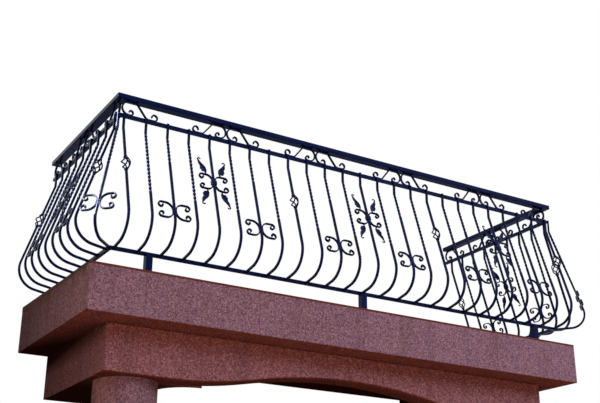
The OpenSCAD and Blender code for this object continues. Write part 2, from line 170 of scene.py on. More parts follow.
key = area_lamp("key_lamp", place=(4.5, -8.0, 4.0), target=(0, -0.6, -0.3), size=(5, 4),
                power=680, colour=(0.95, 0.96, 1.0))
fill = area_lamp("fill_lamp", place=(-5.0, -7.5, -1.6), target=(0, -0.8, -0.2), size=(6, 2),
                 power=90, colour=(1.0, 0.68, 0.54))
gloss = area_lamp("gloss_lamp", place=(-3.85, -1.2, 2.1), target=(-1.5, -1.2, 0.75),
                  size=(0.7, 0.9), power=420, colour=(1.0, 0.96, 0.90))
gloss.visible_diffuse = False
fill.data.spread = math.radians(100)
key.visible_glossy = fill.visible_glossy = False
print("lamps:", key.name, fill.name, gloss.name)

# %% Floor of the studio
def new_material(name):
    """A material, its node tree and its shader."""
    material = bpy.data.materials.new(name)
    material.use_nodes = True
    return material, material.node_tree, material.node_tree.nodes["Principled BSDF"]


floor_half = 14
bm = bmesh.new()
bmesh.ops.create_grid(bm, x_segments=1, y_segments=1, size=floor_half,
                      matrix=Matrix.Translation((0, 0, ground_z)))
floor_mesh = bpy.data.meshes.new("studio_floor")
bm.to_mesh(floor_mesh)
bm.free()
floor = bpy.data.objects.new("studio_floor", floor_mesh)
bpy.context.collection.objects.link(floor)
floor_material, t, bsdf = new_material("studio_floor")
rays = add(t, "LightPath").outputs
seen = math_node(t, "MAXIMUM", rays["Is Camera Ray"], rays["Is Glossy Ray"])
shown = blend(t, rays["Is Camera Ray"], (0.40, 0.48, 0.75, 1), (0.8, 0.8, 0.8, 1))
t.links.new(blend(t, seen, (0.46, 0.23, 0.15, 1), shown), bsdf.inputs["Base Color"])
bsdf.inputs["Roughness"].default_value = 0.9
floor_mesh.materials.append(floor_material)
print("studio floor at", round(ground_z, 3), "m")

# %% [markdown]
# ## Effects that several finishes share
#
# Some effects turn up in more than one finish, so each is a node group that is built once.
# Mottling is a slow change from one shade to another. Settled dust lies on what faces up and is
# broken by noise. Runs of dirt are streaks, long in height and narrow in width. Moss grows near
# the upper edge of the left end. A last group puts out three masks of painted light and shade: a
# painted warm shade on what faces down and just under a slab, painted light on what faces
# sideways, and a painted dark shade towards the wall and in the corner where the beam meets the
# slab.

# %% Groups
def group(name, inputs, outputs):
    """A node group: its tree, the sockets that come in and the sockets that go out."""
    tree = bpy.data.node_groups.new(name, "ShaderNodeTree")
    for label, kind, value in inputs:
        sock = tree.interface.new_socket(label, in_out="INPUT", socket_type="NodeSocket" + kind)
        if value is not None:
            sock.default_value = value
    for label, kind in outputs:
        tree.interface.new_socket(label, in_out="OUTPUT", socket_type="NodeSocket" + kind)
    entry, leaving = tree.nodes.new("NodeGroupInput"), tree.nodes.new("NodeGroupOutput")
    return tree, entry.outputs, leaving.inputs


def place_group(tree, which, values):
    """Places a group in a material and returns its outputs."""
    return add(tree, "Group", values, node_tree=which).outputs


def times(tree, a, b):
    return math_node(tree, "MULTIPLY", a, b)


def noise(tree, vector, scale, detail, roughness=0.5):
    return add(tree, "TexNoise", {"Vector": vector, "Scale": scale, "Detail": detail,
                                  "Roughness": roughness}).outputs[0]


print("group helpers ready")

# %% Mottling
mottling, g, made = group("mottling",
    [("Vector", "Vector", None), ("Scale", "Float", 1.5), ("Contrast", "Float", 0.3)],
    [("Mask", "Float")])
clouds = noise(mottling, g["Vector"], g["Scale"], 5.0, 0.6)
low = math_node(mottling, "SUBTRACT", 0.5, g["Contrast"])
high = math_node(mottling, "ADD", 0.5, g["Contrast"])
mottling.links.new(ramp(mottling, clouds, low, high), made["Mask"])
print("group:", mottling.name)

# %% Settled dust
dust, g, made = group("settled_dust",
    [("Vector", "Vector", None), ("Amount", "Float", 0.5), ("Scale", "Float", 12.0)],
    [("Mask", "Float")])
up = add(dust, "SeparateXYZ", {0: add(dust, "NewGeometry").outputs["Normal"]})
lying = ramp(dust, up.outputs["Z"], 0.35, 0.95)
patches = noise(dust, g["Vector"], g["Scale"], 4.0, 0.65)
both = times(dust, lying, ramp(dust, patches, 0.32, 0.68))
dust.links.new(math_node(dust, "MULTIPLY", both, g["Amount"], True), made["Mask"])
print("group:", dust.name)

# %% Runs of dirt
runs, g, made = group("runs_of_dirt",
    [("Vector", "Vector", None), ("Width", "Float", 14.0), ("Amount", "Float", 0.5)],
    [("Mask", "Float")])
long_way = add(runs, "VectorMath", {0: g["Vector"], 1: (1.0, 1.0, 0.09)}, operation="MULTIPLY")
streak_mask = ramp(runs, noise(runs, long_way.outputs[0], g["Width"], 3.0, 0.7), 0.5, 0.75)
runs.links.new(math_node(runs, "MULTIPLY", streak_mask, g["Amount"], True), made["Mask"])
print("group:", runs.name)

# %% Moss at the left end
moss, g, made = group("moss_growth",
    [("Vector", "Vector", None), ("Amount", "Float", 0.8)],
    [("Mask", "Float")])
place = add(moss, "SeparateXYZ", {0: g["Vector"]})
near_end = ramp(moss, place.outputs["X"], left_end + 0.060, left_end + 0.005)
near_top = ramp(moss, place.outputs["Z"], slab_top - 0.103, slab_top - 0.003)
tufts = ramp(moss, noise(moss, g["Vector"], 22.0, 6.0, 0.7), 0.40, 0.62)
grown = times(moss, times(moss, near_end, near_top), tufts)
moss.links.new(math_node(moss, "MULTIPLY", grown, g["Amount"], True), made["Mask"])
print("group:", moss.name)

# %% Painted light and shade on plaster
painted_shading, g, made = group("painted_shading",
    [("Vector", "Vector", None), ("Under", "Float", -9.0), ("Painted Shade From", "Float", -1.15)],
    [("Warm Shade", "Float"), ("End", "Float"), ("Painted Shade", "Float")])
place = add(painted_shading, "SeparateXYZ", {0: g["Vector"]}).outputs
facing = add(painted_shading, "SeparateXYZ", {0: add(painted_shading, "NewGeometry").outputs["Normal"]})
below = ramp(painted_shading, facing.outputs["Z"], -0.25, -0.85)
sideways = ramp(painted_shading, math_node(painted_shading, "ABSOLUTE", facing.outputs["X"]), 0.6, 0.9)

# Painted shade reaches 0.13 m below a slab's lower face. Where Under is far down, the second ramp
# says none.
close = math_node(painted_shading, "SUBTRACT", place["Z"], g["Under"])
tucked = times(painted_shading, ramp(painted_shading, close, -0.13, 0.02), ramp(painted_shading, close, 0.5, 0.4))
under_it = math_node(painted_shading, "MAXIMUM", below, tucked)
# Painted warm shade: what faces down and what lies just under a slab.
painted_shading.links.new(times(painted_shading, under_it, 0.8), made["Warm Shade"])
# Painted light: what faces sideways is made lighter in the finishes.
painted_shading.links.new(times(painted_shading, sideways, 0.75), made["End"])

# The painted dark shade is thickest at the wall. It begins further back, and is thicker, on what
# faces down.
begins = math_node(painted_shading, "ADD", g["Painted Shade From"], times(painted_shading, below, 0.16))
backwards = ramp(painted_shading, place["Y"], begins, -0.10)
strength = math_node(painted_shading, "ADD", 0.62, times(painted_shading, below, 0.36))

# Behind the front beam there is more painted shade, underneath and on the ends just below the slab.
inwards = ramp(painted_shading, math_node(painted_shading, "ABSOLUTE", place["X"]), 1.80, 1.60)
corner_shade = times(painted_shading, below, times(painted_shading, inwards, 0.45))
crack_shade = times(painted_shading, sideways, times(painted_shading, tucked, 0.75))
cornered = times(painted_shading, math_node(painted_shading, "MAXIMUM", corner_shade, crack_shade),
                 ramp(painted_shading, place["Y"], -1.05, -0.95))
dark_shade = math_node(painted_shading, "ADD", times(painted_shading, backwards, strength), cornered, True)
painted_shading.links.new(dark_shade, made["Painted Shade"])
print("group:", painted_shading.name)

# %% [markdown]
# ## Plaster
#
# Slab, beams and columns have a plaster of small coloured stone grains, brown, pink and grey, set
# in a clear binder. From a few metres the grains only make the surface sparkle a little. The
# grains are cells of a Voronoi texture, each with its own random shade, in two sizes. Under them
# lies the mottling, and dirt runs down from the upper edges. What faces down, and the beam just
# under the slab, gets a painted warm shade of stronger red, and the beams are a redder copy of
# the plaster, in painted shade. The ends are painted lighter and browner, as painted light. A
# painted dark shade grows towards the wall, and moss grows on the left end, where rain stays
# longest. The slab also has faint upright joints where the edging profiles meet. Such a surface
# scatters light in its pits and has no shine, so its gloss is set to nothing. Otherwise the white
# backdrop would lie as a grey veil on the undersides, which are seen at a low angle.

# %% Stone grains
grains, g, made = group("stone_grains",
    [("Vector", "Vector", None), ("Body", "Color", (0.2, 0.1, 0.15, 1))],
    [("Color", "Color"), ("Height", "Float")])
coarse = add(grains, "TexVoronoi", {"Vector": g["Vector"], "Scale": 150.0})
fine = add(grains, "TexVoronoi", {"Vector": g["Vector"], "Scale": 380.0})
shade = add(grains, "SeparateColor", {0: coarse.outputs["Color"]})
fine_shade = add(grains, "SeparateColor", {0: fine.outputs["Color"]})
dark = times(grains, ramp(grains, shade.outputs["Red"], 0.50, 0.85), 0.72)
pale = times(grains, ramp(grains, shade.outputs["Green"], 0.66, 0.92), 0.55)
small = times(grains, ramp(grains, fine_shade.outputs["Blue"], 0.45, 0.95), 0.45)
stones = blend(grains, dark, g["Body"], (0.062, 0.030, 0.038, 1))
stones = blend(grains, pale, stones, (0.40, 0.25, 0.26, 1))
grains.links.new(blend(grains, small, stones, (0.12, 0.058, 0.060, 1)), made["Color"])
half = times(grains, fine.outputs["Distance"], 0.5)
grains.links.new(math_node(grains, "ADD", coarse.outputs["Distance"], half), made["Height"])
print("group:", grains.name)

# %% Plaster
no_slab = -9.0


def connect(tree, bsdf, colour, rough, bump, gloss):
    """Links a finish to its shader. The bump is (strength, distance, height)."""
    strength, distance, height = bump
    tree.links.new(colour, bsdf.inputs["Base Color"])
    tree.links.new(rough, bsdf.inputs["Roughness"])
    bumped = add(tree, "Bump", {"Strength": strength, "Distance": distance, "Height": height})
    tree.links.new(bumped.outputs[0], bsdf.inputs["Normal"])
    bsdf.inputs["Specular IOR Level"].default_value = gloss


def plaster_finish(name, low, high, end, under=no_slab, joints=(), mossy=0.0, shade_from=-1.15):
    """Plaster from two body shades and that of its ends, which is painted light.

    Under is the height of a slab's lower face, below which a painted shade falls, joints are places
    along X, mossy is the amount of moss, and the last argument is where along Y the painted dark
    shade begins.
    """
    material, t, bsdf = new_material(name)
    where = add(t, "TexCoord").outputs["Object"]
    shading = place_group(t, painted_shading, {"Vector": where, "Under": under, "Painted Shade From": shade_from})
    tone = place_group(t, mottling, {"Vector": where, "Scale": 1.7, "Contrast": 0.25})["Mask"]
    body = blend(t, tone, low, high)
    # A painted warm shade: what faces down or lies just under the slab turns red.
    body = blend(t, shading["Warm Shade"], body, (0.270, 0.072, 0.027, 1))
    # Painted light: what faces sideways takes the lighter colour of the ends.
    body = blend(t, shading["End"], body, end)
    stone = place_group(t, grains, {"Vector": where, "Body": body})
    height = stone["Height"]
    dirt = place_group(t, runs, {"Vector": where, "Width": 9.0, "Amount": 0.35})["Mask"]
    colour = blend(t, dirt, stone["Color"], (0.070, 0.036, 0.036, 1))
    # A painted dark shade towards the wall and in the corners under the slab.
    colour = blend(t, shading["Painted Shade"], colour, (0.020, 0.008, 0.006, 1))
    settled = place_group(t, dust, {"Vector": where, "Amount": 0.6, "Scale": 6.0})["Mask"]
    colour = blend(t, settled, colour, (0.30, 0.24, 0.21, 1))
    if joints:
        x = add(t, "SeparateXYZ", {0: where}).outputs["X"]
        lines = 0.0
        for at in joints:
            off = math_node(t, "ABSOLUTE", math_node(t, "SUBTRACT", x, at))
            lines = math_node(t, "MAXIMUM", ramp(t, off, 0.0035, 0.0015), lines)
        colour = blend(t, times(t, lines, 0.55), colour, (0.07, 0.035, 0.038, 1))
        height = math_node(t, "SUBTRACT", height, lines)
    if mossy:
        green = place_group(t, moss, {"Vector": where, "Amount": mossy})["Mask"]
        colour = blend(t, green, colour, (0.085, 0.058, 0.018, 1))
    worn = noise(t, where, 3.0, 3.0)
    rough = add(t, "MapRange", {"Value": worn, "To Min": 0.62, "To Max": 0.86}).outputs[0]
    connect(t, bsdf, colour, rough, (0.4, 0.002, height), gloss=0.0)
    return material


mauve = (0.158, 0.090, 0.132, 1), (0.205, 0.120, 0.172, 1)
# The beams have a redder copy of the plaster, a painted shade under the slab.
red_in_shade = (0.175, 0.064, 0.074, 1), (0.235, 0.092, 0.108, 1)
# The colours of the ends are lighter: painted light.
brown_lit_end, pale_lit_end = (0.340, 0.180, 0.165, 1), (0.450, 0.280, 0.280, 1)
slab_joints = (-1.469, -0.754, -0.016, 1.068)
shaded_beam_plaster = plaster_finish("grain_plaster_beam_shaded", *red_in_shade, brown_lit_end, under=slab_low)
# On the columns the painted dark shade begins nearer the wall.
column_plaster = plaster_finish("grain_plaster_column", *mauve, brown_lit_end, shade_from=-0.95)
slab_plaster = plaster_finish("grain_plaster_slab", *mauve, pale_lit_end, mossy=0.9,
                              joints=slab_joints)
print("plaster finishes:", shaded_beam_plaster.name, column_plaster.name, slab_plaster.name)

# %% [markdown]
# ## Floor tiles
#
# The floor has square red-brown tiles in straight rows. Only their edge shows from the garden, as
# a thin reddish line, but the whole floor shows from above. The Brick texture without an offset
# gives the rows, and its mortar mask lowers the joints. The edge was never glazed or walked on, so
# it is darker and rougher than the face, and it is mossy at the left.

# %% Tiles
tiles, t, bsdf = new_material("fired_tiles")
where = add(t, "TexCoord").outputs["Object"]
tile_side, first_tile = 0.3, (0.13, 0.11, 0.0)
laid = add(t, "VectorMath", {0: where, 1: first_tile}, operation="ADD").outputs[0]
rows = add(t, "TexBrick", {
    "Vector": laid, "Scale": 1.0, "Mortar Size": 0.0050, "Mortar Smooth": 0.2,
    "Brick Width": tile_side, "Row Height": tile_side, "Bias": 0.0,
    "Color1": (0.135, 0.046, 0.035, 1), "Color2": (0.225, 0.086, 0.062, 1),
    "Mortar": (0.27, 0.24, 0.21, 1)}, offset=0.0, squash=1.0)
fired = place_group(t, mottling, {"Vector": where, "Scale": 9.0, "Contrast": 0.2})["Mask"]
toned = blend(t, times(t, fired, 0.35), rows.outputs["Color"], (0.11, 0.045, 0.035, 1))
settled = place_group(t, dust, {"Vector": where, "Amount": 0.22, "Scale": 5.0})["Mask"]
dusty = blend(t, settled, toned, (0.22, 0.16, 0.13, 1))
up = add(t, "SeparateXYZ", {0: add(t, "NewGeometry").outputs["Normal"]}).outputs["Z"]
at_edge = ramp(t, up, 0.999, 0.8)
edged = blend(t, times(t, at_edge, 0.85), dusty, (0.085, 0.022, 0.014, 1))
green = place_group(t, moss, {"Vector": where, "Amount": 0.85})["Mask"]
mossy = blend(t, green, edged, (0.030, 0.026, 0.008, 1))
worn = add(t, "MapRange", {"Value": fired, "To Min": 0.4, "To Max": 0.65}).outputs[0]
joint_low = math_node(t, "SUBTRACT", 1.0, rows.outputs["Fac"])
connect(t, bsdf, mossy, math_node(t, "MAXIMUM", worn, at_edge), (0.8, 0.003, joint_low), gloss=0.08)
print("finish:", tiles.name)

# %% [markdown]
# ## Painted iron
#
# The ironwork has a gloss paint, nearly black. Its base colour has a blue cast, which is a painted
# reflection of the blue sky that such paint mirrors. Hammer marks and the brush leave the paint a
# little wavy, so the bright lines on it break up. Dust dulls what faces up, and a few warm specks
# of rust come through. Paint is no bare metal: its colour is in the base and its shine comes from
# the shader's own gloss, so Metallic stays at nothing. The gloss is low and has a blue tint,
# because a white backdrop stands here where a blue sky would be mirrored.

# %% Painted iron
iron, t, bsdf = new_material("painted_iron")
where = add(t, "TexCoord").outputs["Object"]
tone = place_group(t, mottling, {"Vector": where, "Scale": 4.0, "Contrast": 0.2})["Mask"]
# Nearly black paint, with a blue cast that is a painted reflection of the sky.
paint_and_sky_blue = blend(t, tone, (0.0010, 0.0032, 0.0250, 1), (0.0030, 0.0062, 0.0460, 1))
rusty = times(t, ramp(t, noise(t, where, 55.0, 5.0, 0.7), 0.73, 0.80), 0.6)
spotted = blend(t, rusty, paint_and_sky_blue, (0.045, 0.017, 0.011, 1))
settled = place_group(t, dust, {"Vector": where, "Amount": 0.35, "Scale": 9.0})["Mask"]
dusty = blend(t, settled, spotted, (0.035, 0.036, 0.048, 1))
sheen = add(t, "MapRange", {"Value": noise(t, where, 30.0, 3.0), "From Min": 0.3, "From Max": 0.7,
                            "To Min": 0.14, "To Max": 0.30}).outputs[0]
dull = times(t, math_node(t, "ADD", settled, rusty), 0.5)
hammered = noise(t, where, 70.0, 2.0)
connect(t, bsdf, dusty, math_node(t, "ADD", sheen, dull, True), (0.25, 0.002, hammered), gloss=0.12)
bsdf.inputs["Specular Tint"].default_value = (0.18, 0.36, 0.95, 1)
print("finish:", iron.name)

# %% [markdown]
# ## Finish the solids that keep their shape
#
# Slab, beams, columns, rails and legs are already right, so they only get their finish and, the
# columns apart, softer edges. Plaster edges are rounded by a trowel and rolled steel has a small
# radius. A solid comes in as loose triangles, so a Weld modifier joins them before Bevel looks for
# the edges.

# %% Finish of the solids
def dress(node, material, edge=0, segments=2):
    """Gives a solid its finish and rounds its edges by this much."""
    piece = nodes[node]
    for material_slot in piece.material_slots:
        material_slot.material = material
    weld = piece.modifiers.new("weld", "WELD")
    weld.merge_threshold = 0.00005
    if edge:
        bevel = piece.modifiers.new("soft_edges", "BEVEL")
        bevel.width = edge
        bevel.segments = segments
        bevel.limit_method = "ANGLE"
        bevel.angle_limit = math.radians(35)
        bevel.harden_normals = True


for node in nodes:
    if node == "slab":
        dress(node, slab_plaster, edge=0.006)
    elif node == "floor_tiles":
        dress(node, tiles, edge=0.003)
    elif node.endswith("beam"):
        dress(node, shaded_beam_plaster, edge=0.008)
    elif node.endswith("column"):
        dress(node, column_plaster)
    elif node.endswith("handrail"):
        dress(node, iron, edge=0.004, segments=3)
    elif node.endswith(("rail", "leg")):
        dress(node, iron, edge=0.0015)
    else:
        dress(node, iron)
print("finished solids:", len(nodes))

# %% [markdown]
# ## Sizes of the railing
#
# The heights and widths of the rails are measured on their solids, in metres. The other sizes are
# those that the bars and scrolls of the solids have. A bar lies on the outer face of the mid rail,
# has a knee below it, leans out, rounds the belly and tucks in to the bottom rail. Bars get a coat
# of paint that makes them a little thicker. So each bar is set in by half a coat, and the belly
# reaches no further out than that of the solids.

# %% Rails as measured
hand, mid, low = (box_of(f"front_{rail}") for rail in ("handrail", "mid_rail", "bottom_rail"))
mid_low, mid_top = mid[0][2], mid[1][2]
band_h = round(hand[0][2] - mid_top, 5)
mid_w, low_w = (round(rail[1][1] - rail[0][1], 5) for rail in (mid, low))
low_mid = round((low[0][2] + low[1][2]) / 2, 5)
rail_x, rail_y = round(mid[1][0] - mid_w / 2, 5), round(mid[0][1] + mid_w / 2, 5)
print("mid rail from", mid_low, "to", mid_top, "m, band", band_h, "m, bottom rail at", low_mid, "m")
print("rail axes at", rail_x, rail_y, "m, widths", mid_w, low_w, "m")

# %% Bars and their bends
bar_t, scroll_t, scroll_w = 0.012, 0.006, 0.012
front_gap, side_gap = 0.020, 0.034
front_gaps, side_gaps = 24, 8
front_pitch = 2 * (rail_x - front_gap) / front_gaps
left_pitch, right_pitch = 0.128, 0.133
knee_z = mid_low - 0.070
knee_r = 0.004
lean = math.radians(17.4)
bar_out = mid_w / 2 + bar_t / 2
corner_seat = 0.002
corner_shift = (mid_w * math.sqrt(2) - mid_w) / 2 - corner_seat
basket_at, basket_h, collar_h = 0.269, 0.084, 0.008
c_at, corner_c_at = 0.543, 0.560
coat, hair = 0.0016, 0.0001
paint_in = coat / 2 + hair


def lean_length(r, tuck, end):
    """Length of the leaning part above a belly that tucks in and ends this far from the rail."""
    slope = math.cos(tuck) / math.sin(tuck)
    drop = knee_z - low_mid - r * (math.sin(lean) + math.sin(tuck))
    back = r * (math.cos(tuck) - math.cos(lean)) + bar_out - end
    return (drop - slope * back) / (1 + math.tan(lean) * slope) / math.cos(lean)


class Belly:
    """The lower part of a bar: belly radius, tuck, length of the lean and of the last straight."""
    def __init__(self, r, tuck, end):
        self.r, self.tuck, self.end = r, math.radians(tuck), end
        self.lean = lean_length(self.r, self.tuck, end)
        inwards = r * (math.cos(self.tuck) - math.cos(lean))
        reach = bar_out + self.lean * math.sin(lean) + inwards
        self.last = (reach - end) / math.sin(self.tuck)


row = Belly(r=0.130, tuck=80, end=low_w / 2)
corner = Belly(r=0.100, tuck=88, end=low_w / 2 - corner_shift - bar_t / 2)
print("straight lean:", round(row.lean * 1000), "mm")
print("bar pitch along the front:", round(front_pitch * 1000, 1), "mm")

# %% [markdown]
# ## How a bar is bent
#
# A smith's bar is one section carried along a path. The section is a square, or an oblong for flat
# bar, with slightly rounded corners. It is one face, and each step of the path extrudes that face
# and moves the new face on. A path is a list of steps: a length to go straight, or a radius and an
# angle to bend. A straight step may also turn the section about itself, and that is a twist. What
# comes after a twist keeps its turn, because a bar that turned back at once would be pinched in.
# Each extrusion leaves the old end face inside the bar, so those faces are deleted and the bar is
# one closed skin.

# %% Sections
def turn(degrees, axis):
    return Matrix.Rotation(math.radians(degrees), 4, axis)


def section(bm, width, depth, rounding):
    """A face with rounded corners, width along X and depth along Y, that looks along Z."""
    made = bmesh.ops.create_circle(bm, cap_ends=True, segments=4, radius=math.sqrt(0.5),
                                   matrix=turn(45, "Z"))
    bmesh.ops.scale(bm, vec=(width, depth, 1), verts=made["verts"])
    bmesh.ops.bevel(bm, geom=made["verts"], affect="VERTICES", offset=rounding, segments=2,
                    profile=0.5, material=-1)
    return next(iter(bm.faces))


print("section helpers ready")

# %% Paths
frames_per_turn = 16
fine_bend, coarse_bend = math.radians(7), math.radians(9)


def frame_at(point, heading, turned=0.0):
    """A place on a flat path: Z goes along the path and X points to its left."""
    c, s = math.cos(heading), math.sin(heading)
    flat = Matrix(((-s, 0, c, point[0]), (c, 0, s, point[1]), (0, 1, 0, 0), (0, 0, 0, 1)))
    return flat @ Matrix.Rotation(turned, 4, "Z")


def path(start, heading, steps, fine=fine_bend):
    """The frames along a path. A step is (length,), (length, turns) or ("bend", radius, angle)."""
    p, turned, frames = Vector(start), 0.0, [frame_at(start, heading)]
    for step in steps:
        if step[0] == "bend":
            radius, angle = step[1:]
            side = 1 if angle > 0 else -1
            centre = p + side * radius * Vector((-math.sin(heading), math.cos(heading)))
            n = max(1, math.ceil(abs(angle) / fine))
            for k in range(1, n + 1):
                a = heading + angle * k / n
                p = centre + side * radius * Vector((math.sin(a), -math.cos(a)))
                frames.append(frame_at(p, a, turned))
            heading += angle
        else:
            turns = step[1] if len(step) > 1 else 0
            winding = 2 * math.pi * turns
            along = Vector((math.cos(heading), math.sin(heading))) * step[0]
            n = max(1, round(turns * frames_per_turn))
            for k in range(1, n + 1):
                frames.append(frame_at(p + along * k / n, heading, turned + winding * k / n))
            p = p + along
            turned += winding
    return frames


print("frames of a quarter bend:", len(path((0, 0), 0.0, [("bend", 0.1, math.radians(90))])))

# %% Carrying a section along a path
def carry(bm, face, frames):
    """Extrudes a face from frame to frame and leaves a closed bar."""
    bmesh.ops.transform(bm, matrix=frames[0], verts=face.verts)
    inner = []
    for i, (a, b) in enumerate(zip(frames, frames[1:])):
        grown = bmesh.ops.extrude_face_region(bm, geom=[face])["geom"]
        if i:
            inner.append(face)
        face = next(g for g in grown if isinstance(g, bmesh.types.BMFace))
        bmesh.ops.transform(bm, matrix=b @ a.inverted(), verts=face.verts)
    bmesh.ops.delete(bm, geom=inner, context="FACES_ONLY")


print("bar helpers ready")

# %% [markdown]
# ## From one bar to a whole side
#
# Every bar of a kind is the same, so it is made once and copied to its places. A place is a matrix
# that stands the flat path upright with X pointing outwards. The right side is a left one seen in
# a mirror. All bars of one kind and side become one piece that stands for the solid of that name.

# %% Copies at their places
mirror_x = Matrix.Diagonal((-1, 1, 1, 1))


def stored(build):
    """Runs build on an empty bmesh and keeps the result as a mesh to copy from."""
    bm = bmesh.new()
    build(bm)
    bmesh.ops.remove_doubles(bm, verts=bm.verts[:], dist=0.00001)
    bmesh.ops.recalc_face_normals(bm, faces=bm.faces[:])
    mesh = bpy.data.meshes.new("stored")
    bm.to_mesh(mesh)
    bm.free()
    return mesh


def bar_along(frames, width=bar_t, depth=bar_t):
    """A bar with its coats of paint, which make it a little thicker than the steel."""
    def build(bm):
        carry(bm, section(bm, width + coat, depth + coat, rounding=0.0014), frames)
    return stored(build)


def upright(x, y, facing):
    return Matrix.Translation((x, y, 0)) @ turn(facing, "Z") @ turn(90, "X")


def front_place(k):
    return upright(-rail_x + front_gap + k * front_pitch, rail_y, -90)


def left_row(k):
    return upright(-rail_x, rail_y + side_gap + k * left_pitch, 180)


def right_row(k):
    return upright(-rail_x, rail_y + side_gap + k * right_pitch, 180)


def piece_of(name, parts, node=None, sharp=38, mirrored=False):
    """One piece from (mesh, matrix) pairs, with its normals, finish, slot and body."""
    bm = bmesh.new()
    for mesh, matrix in parts:
        start = len(bm.verts)
        bm.from_mesh(mesh)
        place = mirror_x @ matrix if mirrored else matrix
        bmesh.ops.transform(bm, matrix=place, verts=bm.verts[:][start:])
    if mirrored:
        bmesh.ops.reverse_faces(bm, faces=bm.faces[:])
    for face in bm.faces:
        face.smooth = True
    for edge in bm.edges:
        edge.smooth = edge.calc_face_angle() < math.radians(sharp)
    mesh = bpy.data.meshes.new(name)
    bm.to_mesh(mesh)
    bm.free()
    mesh.materials.append(iron)
    piece = bpy.data.objects.new(name, mesh)
    bpy.context.collection.objects.link(piece)
    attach(piece, "root")
    if node:
        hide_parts(node)
    print(name, "faces:", len(mesh.polygons))


ends = [round(front_place(k).to_translation().x, 3) for k in (0, front_gaps)]
print("first and last bar of the front at", ends, "m")

# %% [markdown]
# ## Belly bars
#
# Between two ornaments stands a plain twisted bar: four full turns below the knee, then the smooth
# lean, the belly and the tuck. A bar with C scrolls has a shorter twist, the one with leaves has
# none, and the basket bar is cut in two where the basket goes.

# %% Paths of the bars
turn_len = 0.109
end_lap = 0.002
bar_start = (bar_out - paint_in, mid_top), math.radians(-90)
knee_steps = [(mid_top - knee_z,), ("bend", knee_r, lean)]


def belly_steps(belly, above):
    """The rest of the lean below a length that is already made, the belly and the tuck."""
    return [(belly.lean - above,), ("bend", belly.r, -lean - belly.tuck), (belly.last + end_lap,)]


def bar_path(belly, straight_top=0.0, turns=0.0):
    steps = list(knee_steps)
    if turns:
        steps += [(straight_top,), (turns * turn_len, turns)]
    return path(*bar_start, steps + belly_steps(belly, straight_top + turns * turn_len))


def on_lean(s):
    return Vector((bar_out - paint_in + s * math.sin(lean), knee_z - s * math.cos(lean)))


long_bar = bar_along(bar_path(row, 0.008, 4))
short_bar = bar_along(bar_path(row, 0.004, 1.75))
corner_bar = bar_along(bar_path(corner, 0.024, 2.5))
plain_bar = bar_along(bar_path(row))
half_basket = basket_h / 2 + collar_h
basket_top = bar_along(path(*bar_start, knee_steps + [(basket_at - half_basket,)]))
basket_low = bar_along(path(on_lean(basket_at + half_basket), lean - math.radians(90),
                            belly_steps(row, basket_at + half_basket)))
print("faces of a long twisted bar:", len(long_bar.polygons))

# %% Bars at their places
every_basket, every_leaf = 8, 4


def twisted_parts(place, gaps):
    return [(long_bar, place(k)) for k in range(1, gaps, 2)]


def ornament_parts(place, gaps):
    """Every second bar: one with a basket, C scrolls, leaves, C scrolls, and so on."""
    parts = []
    for k in range(0, gaps + 1, 2):
        if k % every_basket == 0:
            parts += [(basket_top, place(k)), (basket_low, place(k))]
        elif k % every_leaf == 0:
            parts.append((plain_bar, place(k)))
        else:
            parts.append((short_bar, place(k)))
    return parts


def all_sides(name, node, parts):
    """The pieces of one kind on the three sides. Parts lists the copies along a row of bars."""
    piece_of("front_" + name, parts(front_place, front_gaps), "front_" + node)
    piece_of("left_" + name, parts(left_row, side_gaps), "left_" + node)
    piece_of("right_" + name, parts(right_row, side_gaps), "right_" + node, mirrored=True)


def left_and_right(name, node, parts):
    """The same copies on the left and, mirrored, on the right."""
    piece_of("left_" + name, parts, "left_" + node)
    piece_of("right_" + name, parts, "right_" + node, mirrored=True)


corner_off = corner_shift / math.sqrt(2)
corner_spot = upright(-rail_x - corner_off, rail_y - corner_off, -135)
all_sides("twisted_bars_bent", "twisted_bars", twisted_parts)
all_sides("ornament_bars_bent", "ornament_bars", ornament_parts)
left_and_right("corner_bar_bent", "corner_bar", [(corner_bar, corner_spot)])

# %% [markdown]
# ## Baskets
#
# A basket is four thin round bars welded together at both ends, twisted half a turn and pushed
# open. Each wire is a round section carried along a winding path, and a forged collar closes
# each end. The wires overlap a little inside the collars, as a weld runs them together.

# %% Baskets
wire_r, wire_close, wire_open, wire_lap = 0.0043, 0.0046, 0.0262, 0.006
basket_collar, basket_collar_edge = (0.020, 0.020, collar_h + 0.001), 0.0028


def wire_frames(a0, steps=24):
    points = []
    for k in range(steps + 1):
        s = k / steps
        a = a0 - math.pi * s
        r = wire_close + (wire_open - wire_close) * math.sin(math.pi * s)
        points.append(Vector((r * math.cos(a), r * math.sin(a), (s - 0.5) * (basket_h + wire_lap))))
    frames = []
    for k, p in enumerate(points):
        along = points[min(k + 1, steps)] - points[max(k - 1, 0)]
        frames.append(Matrix.Translation(p) @ along.to_track_quat("Z", "Y").to_matrix().to_4x4())
    return frames


def rounded_block(bm, size, rounding, centre=(0, 0, 0)):
    corners = bmesh.ops.create_cube(bm, size=1.0)["verts"]
    bmesh.ops.scale(bm, vec=size, verts=corners)
    bmesh.ops.translate(bm, vec=centre, verts=corners)
    edges = [e for e in bm.edges if e.verts[0] in corners]
    bmesh.ops.bevel(bm, geom=edges, affect="EDGES", offset=rounding, segments=3, profile=0.5,
                    material=-1)


def basket_build(bm):
    for quarter in range(4):
        made = bmesh.ops.create_circle(bm, cap_ends=True, segments=8, radius=wire_r)
        carry(bm, made["verts"][0].link_faces[0], wire_frames(quarter * math.pi / 2))
    for end in (-1, 1):
        centre = (0, 0, end * (basket_h + collar_h) / 2)
        rounded_block(bm, basket_collar, basket_collar_edge, centre)


basket = stored(basket_build)


